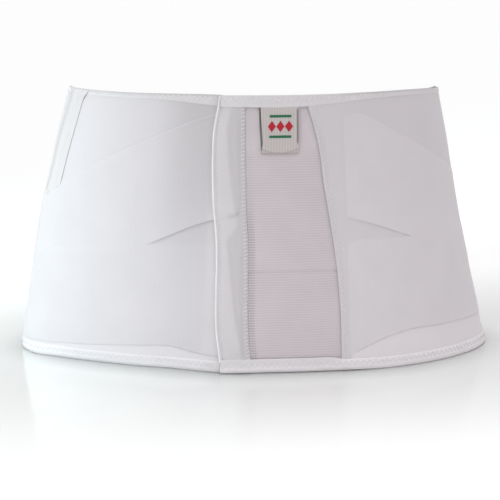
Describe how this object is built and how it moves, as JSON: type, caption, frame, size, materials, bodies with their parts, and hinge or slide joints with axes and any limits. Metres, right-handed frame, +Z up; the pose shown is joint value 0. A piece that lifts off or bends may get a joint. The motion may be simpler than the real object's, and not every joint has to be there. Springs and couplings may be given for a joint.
{
  "type": "lumbosacral brace",
  "caption": "White elastic lumbosacral waist brace: a tapered open loop with crossing elastic bands, mesh front flap, hook strip closure, bound rims and a sewn tag.",
  "frame": {"origin": "middle of the footprint, on the surface that the lower hem stands on", "axes": "+Z up along the wearer's waist, closure facing -Y, +X to the viewer's right"},
  "size_m": [0.4534, 0.253, 0.252],
  "materials": {
    "knit": "fine ribbed elastic knit, matte white",
    "mesh": "fine ribbed mesh, matte grey white",
    "strip": "padded sewn strip, matte white",
    "edge": "rolled satin edge, soft sheen",
    "binding": "folded tape, matte white",
    "band": "woven elastic, matte white",
    "label": "woven satin tag, soft sheen",
    "casing": "sewn tape, matte white"
  },
  "bodies": {
    "root": {"body_panel": "knit", "mesh_panel": "mesh", "closure_strip": "strip", "flap_edge": "edge", "top_binding": "binding", "bottom_binding": "binding", "upper_band": "band", "lower_band": "band", "label": "label", "stay_casing": "casing"}
  },
  "joints": []
}
